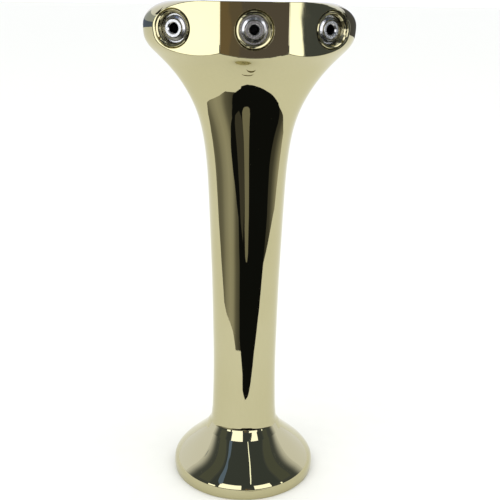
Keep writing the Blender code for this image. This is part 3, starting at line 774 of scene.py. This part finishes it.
outlet_skins = {}
for name, side in OUTLETS:
    nut = Sheet()
    lathe(nut, [(14.9, 0.22), (14.5, 0.12, 0.15), (13.75, -0.85, 0.1), (13.75, -1.0)][::-1], 96)
    threaded(nut, -8.6, -1.0, 13.75, 1.41, 0.40)
    lathe(nut, [(13.75, -8.6), (13.75, -8.8, 0.05), (11.5, -8.8, 0.1), (11.5, -11.7, 0.2), (16.0, -11.7, 0.3), (16.75, -11.0, 0.2),
                (16.75, -0.25, 0.18), (16.08, 0.5, 0.12), (15.9, 0.455)], 96)
    clock = math.radians(HOLE_CLOCK[name])
    pin = Matrix.Translation(Vector((15.38 * math.cos(clock), 15.38 * math.sin(clock), 0.5)))
    # the front face, between its two edge roundings, with the spanner hole in it
    ring_out, ring_in = circle(Matrix.Translation((0, 0, 0.455)), 15.9, 96), circle(Matrix.Translation((0, 0, 0.22)), 14.9, 96)
    nut_ob = nut.make("nut_skin_" + name, [GOLD_NUT], MM)
    front = Sheet()
    front.flat([ring_out, ring_in], (0.0, 0.0, 1.0))
    front_ob = front.make("nut_front_" + name, [GOLD_NUT], MM)
    bpy.context.view_layer.update()
    join = bmesh.new()
    join.from_mesh(nut_ob.data)
    join.from_mesh(front_ob.data)
    bmesh.ops.remove_doubles(join, verts=join.verts, dist=1e-6)
    bmesh.ops.recalc_face_normals(join, faces=join.faces)
    join.to_mesh(nut_ob.data)
    join.free()
    bpy.data.objects.remove(front_ob)
    drill = bmesh.new()
    bmesh.ops.create_cone(drill, cap_ends=True, segments=32, radius1=1.0 * MM, radius2=1.0 * MM, depth=5.0 * MM,
                          matrix=Matrix.Translation(pin.translation * MM - Vector((0, 0, 1.0 * MM))))
    drill_mesh = bpy.data.meshes.new("drill")
    drill.to_mesh(drill_mesh)
    drill.free()
    drill_ob = bpy.data.objects.new("drill", drill_mesh)
    scene.collection.objects.link(drill_ob)
    mod = nut_ob.modifiers.new("pin_hole", "BOOLEAN")
    mod.operation, mod.solver, mod.object = "DIFFERENCE", "EXACT", drill_ob
    bpy.context.view_layer.update()
    baked = bpy.data.meshes.new_from_object(nut_ob.evaluated_get(bpy.context.evaluated_depsgraph_get()))
    nut_ob.modifiers.clear()
    nut_ob.data = baked
    nut_ob.data.polygons.foreach_set("use_smooth", [True] * len(nut_ob.data.polygons))
    nut_ob.data.set_sharp_from_angle(angle=math.radians(28.0))
    nut_ob.data.materials.clear()
    nut_ob.data.materials.append(GOLD_NUT)
    bpy.data.objects.remove(drill_ob)
    nut_ob.matrix_world = FRAMES_M[name]

    shank = Sheet()
    lathe(shank, [(9.5, -29.2), (9.5, -12.7, 0.2), (11.1, -12.7, 0.3), (11.1, -8.5, 0.2), (13.2, -8.5, 0.3), (13.2, -6.0, 0.35),
                  (11.4, -6.0, 0.2), (11.4, -4.2, 0.45), (8.9, -3.35, 0.35), (8.0, -1.9, 0.3), (5.6, -1.9, 0.25), (4.95, -2.5, 0.2),
                  (4.5, -3.0, 0.2), (4.5, -12.0)], 96, 0)
    # the bore wall and its closing end take the painted shade material
    lathe(shank, [(4.5, -12.0), (4.5, -28.0), (0.02, -28.0)], 48, 1)
    shank_ob = shank.make("shank_skin_" + name, [STEEL, BORE_SHADE], MM, FRAMES_M[name])
    outlet_skins[name] = (nut_ob, shank_ob)


# ---- the pieces stand for their nodes ----
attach(tower_skin, "tower")
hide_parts("tower_body")
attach(cover_skin, "tower")
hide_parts("top_cover")
for i, ob in enumerate(screw_skins):
    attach(ob, "tower")
    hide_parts("cover_screw_%d" % (i + 1))
for name, side in OUTLETS:
    nut_ob, shank_ob = outlet_skins[name]
    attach(nut_ob, "nut_" + name)
    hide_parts("coupling_nut_" + name)
    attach(shank_ob, "tower")
    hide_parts("shank_" + name)

KEPT = {
    "mount_ring": STEEL_PLAIN, "base_gasket": RUBBER, "cover_gasket": RUBBER, "insulation_sleeve": FOAM,
}
for name, ob in nodes.items():
    mat = KEPT.get(name)
    if mat is None:
        if name.startswith(("tail_washer",)):
            mat = RUBBER
        elif name.startswith("tail_nut"):
            mat = BRASS
        else:
            mat = STEEL_PLAIN
    for slot in ob.material_slots:
        slot.material = mat

# ---- floor ----
floor_mesh = bpy.data.meshes.new("floor")
floor_mesh.from_pydata([(-30, -30, 0), (30, -30, 0), (30, 30, 0), (-30, 30, 0)], [], [(0, 1, 2, 3)])
floor = bpy.data.objects.new("floor", floor_mesh)
scene.collection.objects.link(floor)
floor_mesh.materials.append(dull("floor_paint", (0.88, 0.87, 0.74), 0.8, grain=120.0, strength=0.0, spread=0.004))


# ---- studio ----
PALE = (0.92, 0.94, 1.05)
SHADE = (0.092, 0.104, 0.120)


def card(name, corners, tint, faces=None):
    """A flat reflector, softbox or flag that only shows in reflections."""
    mesh = bpy.data.meshes.new(name)
    mesh.from_pydata(corners, [], faces or [tuple(range(len(corners)))])
    ob = bpy.data.objects.new(name, mesh)
    scene.collection.objects.link(ob)
    mat = bpy.data.materials.new(name)
    mat.use_nodes = True
    tree = mat.node_tree
    tree.nodes.clear()
    out = tree.nodes.new("ShaderNodeOutputMaterial")
    glow = tree.nodes.new("ShaderNodeEmission")
    strength = max(tint)
    glow.inputs["Color"].default_value = (*(c / strength for c in tint), 1.0)
    glow.inputs["Strength"].default_value = strength
    tree.links.new(glow.outputs[0], out.inputs["Surface"])
    mesh.materials.append(mat)
    ob.visible_camera = False
    ob.visible_diffuse = False
    ob.visible_shadow = False
    ob.visible_transmission = False
    return ob


def way(az, el, reach):
    """A point seen from the foot: bearing from the front (degrees, right is plus), height angle, distance."""
    a, e = math.radians(az), math.radians(el)
    return (reach * math.sin(a) * math.cos(e), -reach * math.cos(a) * math.cos(e), reach * math.sin(e))


def patch(name, az, el, tint, reach=2.98, steps=6):
    """A card curved around the tower between two bearings and two height angles."""
    points = [way(az[0] + (az[1] - az[0]) * i / steps, e, reach) for e in el for i in range(steps + 1)]
    k = steps + 1
    return card(name, points, tint, [(i, i + 1, k + i + 1, k + i) for i in range(steps)])


def backdrop(name, az, el, tint, reach=3.0):
    """A dark studio wall that curves overhead."""
    cols, rows = max(2, int(abs(az[1] - az[0]) / 4)), max(2, int((el[1] - el[0]) / 6))
    points = [
        way(az[0] + (az[1] - az[0]) * i / cols, el[0] + (el[1] - el[0]) * j / rows, reach)
        for j in range(rows + 1) for i in range(cols + 1)
    ]
    k = cols + 1
    return card(name, points, tint, [(j * k + i, j * k + i + 1, (j + 1) * k + i + 1, (j + 1) * k + i) for j in range(rows) for i in range(cols)])


def on_floor(name, outline, tint, layer):
    return card(name, [(x, y, 0.0006 * layer) for x, y in outline], tint)


# the dark room in front of the table, and how it ends at both sides
backdrop("room", (-84.0, 84.0), (-0.5, 80.0), SHADE, 3.02)
backdrop("room_dim", (-57.0, 57.0), (14.0, 78.0), (0.070, 0.084, 0.100), 3.0)
backdrop("wing_left", (-80.0, -60.0), (20.0, 78.0), (0.125, 0.138, 0.130), 3.0)
backdrop("wing_right", (60.0, 80.0), (20.0, 78.0), (0.120, 0.134, 0.128), 3.0)
for i in range(10):
    mix = (i + 0.5) / 10
    mix = mix * mix * (3.0 - 2.0 * mix)
    tint = tuple(a + (b - a) * mix**1.6 for a, b in zip(SHADE, PALE))
    for side in (-1, 1):
        backdrop("room_edge_%d_%s" % (i, "r" if side > 0 else "l"), (side * (84.0 + 2.0 * i), side * (86.0 + 2.0 * i)), (-0.5, 80.0), tint)

# on and beyond the table: pale near the foot, olive shade fanning out to the left, dark in front, dim to the right
def fan(name, rows, reach, layer):
    """Wedges of the floor beyond a wavy table edge: (bearing, distance of the edge, brightness) rows."""
    for i in range(len(rows) - 1):
        (a0, r0, k0), (a1, r1, k1) = rows[i], rows[i + 1]
        parts = max(1, int(abs(a1 - a0) / 2.0))
        for j in range(parts):
            t0, t1 = j / parts, (j + 1) / parts
            b0, b1 = a0 + (a1 - a0) * t0, a0 + (a1 - a0) * t1
            e0, e1 = r0 + (r1 - r0) * t0, r0 + (r1 - r0) * t1
            k = k0 + (k1 - k0) * (t0 + t1) / 2
            corners = [way(b0, 0.0, e0), way(b1, 0.0, e1), way(b1, 0.0, reach), way(b0, 0.0, reach)]
            on_floor("%s_%d_%d" % (name, i, j), [(c[0], c[1]) for c in corners], (k * 1.03, k, k * 0.86), layer)


fan("shade_left", [(-108.0, 1.7, 0.60), (-98.0, 0.90, 0.22), (-90.0, 0.65, 0.19), (-80.0, 0.50, 0.24), (-70.0, 0.46, 0.38), (-55.0, 0.43, 0.50),
                   (-45.0, 0.40, 0.45), (-35.0, 0.34, 0.18), (-14.0, 0.34, 0.03)], 2.95, 1)
fan("dim_right", [(43.0, 0.46, 0.02), (55.0, 0.63, 0.05), (70.0, 0.76, 0.09), (80.0, 0.88, 0.22), (90.0, 1.0, 0.42), (106.0, 1.7, 0.80)], 2.95, 1)
# the dark room beyond the table's near edge: a rounded tip towards the foot, sloping shoulders, then out to both sides
on_floor("dark_front", [(0.0, -0.232), (-0.04, -0.25), (-0.05, -0.28), (-0.14, -0.35), (-0.17, -0.41), (-0.25, -0.57), (-0.42, -0.80), (-1.0, -1.05),
                        (-2.0, -2.2), (2.4, -1.8), (1.1, -0.62), (0.8, -0.43), (0.5, -0.37), (0.3, -0.335), (0.17, -0.295), (0.10, -0.26), (0.04, -0.237)],
         (0.008, 0.009, 0.010), 3)
on_floor("dim_left", [(-0.17, -0.72), (-0.3, -0.8), (-0.6, -1.2), (-1.0, -1.9), (-0.3, -2.0), (-0.2, -1.4)], (0.075, 0.072, 0.064), 4)
on_floor("streak", [(-0.07, -0.66), (-0.04, -0.63), (0.0, -0.63), (0.03, -0.68), (0.05, -0.9), (0.05, -1.3), (0.03, -2.6), (-0.5, -2.6), (-0.3, -1.7),
                    (-0.18, -1.1), (-0.12, -0.8)], (0.30, 0.29, 0.235), 5)
# painted contact shadow in front of the foot: dark floor arcs, mirrored as small dark arcs under the middle outlet
for count, (middle, near, half, width) in enumerate([(0.022, -0.106, 0.026, 0.009), (0.004, -0.131, 0.034, 0.008)]):
    curve = [(middle + half * math.cos(math.radians(a)), near - 0.012 * math.sin(math.radians(a))) for a in range(0, 181, 15)]
    back = [(x, y - width * math.sin(math.acos(max(-1.0, min(1.0, (x - middle) / half))))) for x, y in curve[::-1]]
    on_floor("scuff_%d" % count, curve + back[1:-1], (0.16, 0.13, 0.05), 2)

# softboxes and slits that the flat faces and the foot show
patch("box_left_face", (-58.0, -46.5), (2.5, 12.0), (2.35, 2.40, 2.45))
patch("slit_right_face", (56.4, 59.1), (1.5, 13.0), (2.35, 2.40, 2.40))
# brown and warm cards in front of the tower: a painted reflection, which the centre face shows as its warm dark patch
patch("brown_centre", (-0.5, 9.0), (1.0, 12.0), (0.145, 0.125, 0.125))
patch("warm_reflection_centre", (-0.5, 2.3), (1.0, 12.0), (0.245, 0.180, 0.110), 2.96)
patch("warm_reflection_centre_soft", (2.3, 3.3), (1.0, 12.0), (0.185, 0.150, 0.115), 2.96)
patch("box_foot_left", (-41.0, -6.5), (3.0, 34.0), (2.2, 2.2, 2.3))
patch("box_foot_right", (14.0, 41.0), (3.0, 31.0), (2.2, 2.2, 2.3))
card("slit_foot", [way(9.0, 39.0, 2.97), way(10.6, 39.0, 2.97), way(16.2, 60.0, 2.97), way(23.5, 68.5, 2.97), way(20.5, 69.3, 2.97), way(13.6, 60.4, 2.97)],
     (2.2, 2.3, 2.3))
card("blue_slit", [way(a, e, 2.96) for a, e in ((-42.0, 27.0), (-39.5, 27.0), (-39.0, 38.0), (-42.0, 50.0), (-46.0, 60.0), (-54.0, 62.0), (-51.5, 50.0), (-48.0, 38.0))], (0.17, 0.25, 0.47))
# small flags level with the head's rounded ends
card("flag_left_end", [(-0.28, 0.37, 0.450), (-0.53, 0.07, 0.450), (-0.53, 0.07, 0.535), (-0.28, 0.37, 0.535)], (0.135, 0.175, 0.31))
card("flag_left_end_high", [(-0.28, 0.37, 0.535), (-0.53, 0.07, 0.535), (-0.53, 0.07, 0.66), (-0.28, 0.37, 0.66)], (0.50, 0.55, 0.66))
card("flag_right_end", [(0.52, 0.10, 0.42), (0.27, 0.42, 0.42), (0.27, 0.42, 0.68), (0.52, 0.10, 0.68)], (0.10, 0.10, 0.105))

world = bpy.data.worlds.new("studio")
scene.world = world
world.use_nodes = True
back = world.node_tree.nodes["Background"]
back.inputs["Color"].default_value = (0.86, 0.88, 1.0, 1.0)
back.inputs["Strength"].default_value = 1.27


def lamp(name, place, aim, size, power, colour=(1.0, 1.0, 1.0)):
    data = bpy.data.lights.new(name, "AREA")
    data.shape, data.size, data.energy, data.color = "SQUARE", size, power, colour
    ob = bpy.data.objects.new(name, data)
    ob.location = place
    ob.rotation_mode = "QUATERNION"
    ob.rotation_quaternion = (Vector(aim) - Vector(place)).to_track_quat("-Z", "Y")
    ob.visible_glossy = False
    scene.collection.objects.link(ob)
    return ob


lamp("key", (-2.0, -1.6, 3.4), (0, 0, 0.2), 2.4, 26)
lamp("fill", (2.2, -1.2, 3.2), (0, 0, 0.2), 2.4, 18)

# ---- camera ----
YAW, PITCH, ROLL = 0.0778, 0.3054, 0.0150
forward = Vector((math.sin(YAW) * math.cos(PITCH), math.cos(YAW) * math.cos(PITCH), -math.sin(PITCH)))
right = Vector((math.cos(YAW), -math.sin(YAW), 0.0))
up = right.cross(forward)
c, s = math.cos(ROLL), math.sin(ROLL)
right, up = c * right + s * up, -s * right + c * up
camera_data = bpy.data.cameras.new("camera")
camera_data.lens = 826.32 * 36.0 / 500.0
camera_data.sensor_width = 36.0
camera_data.clip_start, camera_data.clip_end = 0.01, 100.0
camera = bpy.data.objects.new("camera", camera_data)
camera.rotation_mode = "QUATERNION"
camera.rotation_quaternion = Matrix((right, up, -forward)).transposed().to_quaternion()
camera.location = (-0.0601, -0.8271, 0.5143)
scene.collection.objects.link(camera)
scene.camera = camera
scene.view_settings.view_transform = "Standard"
scene.view_settings.look = "None"
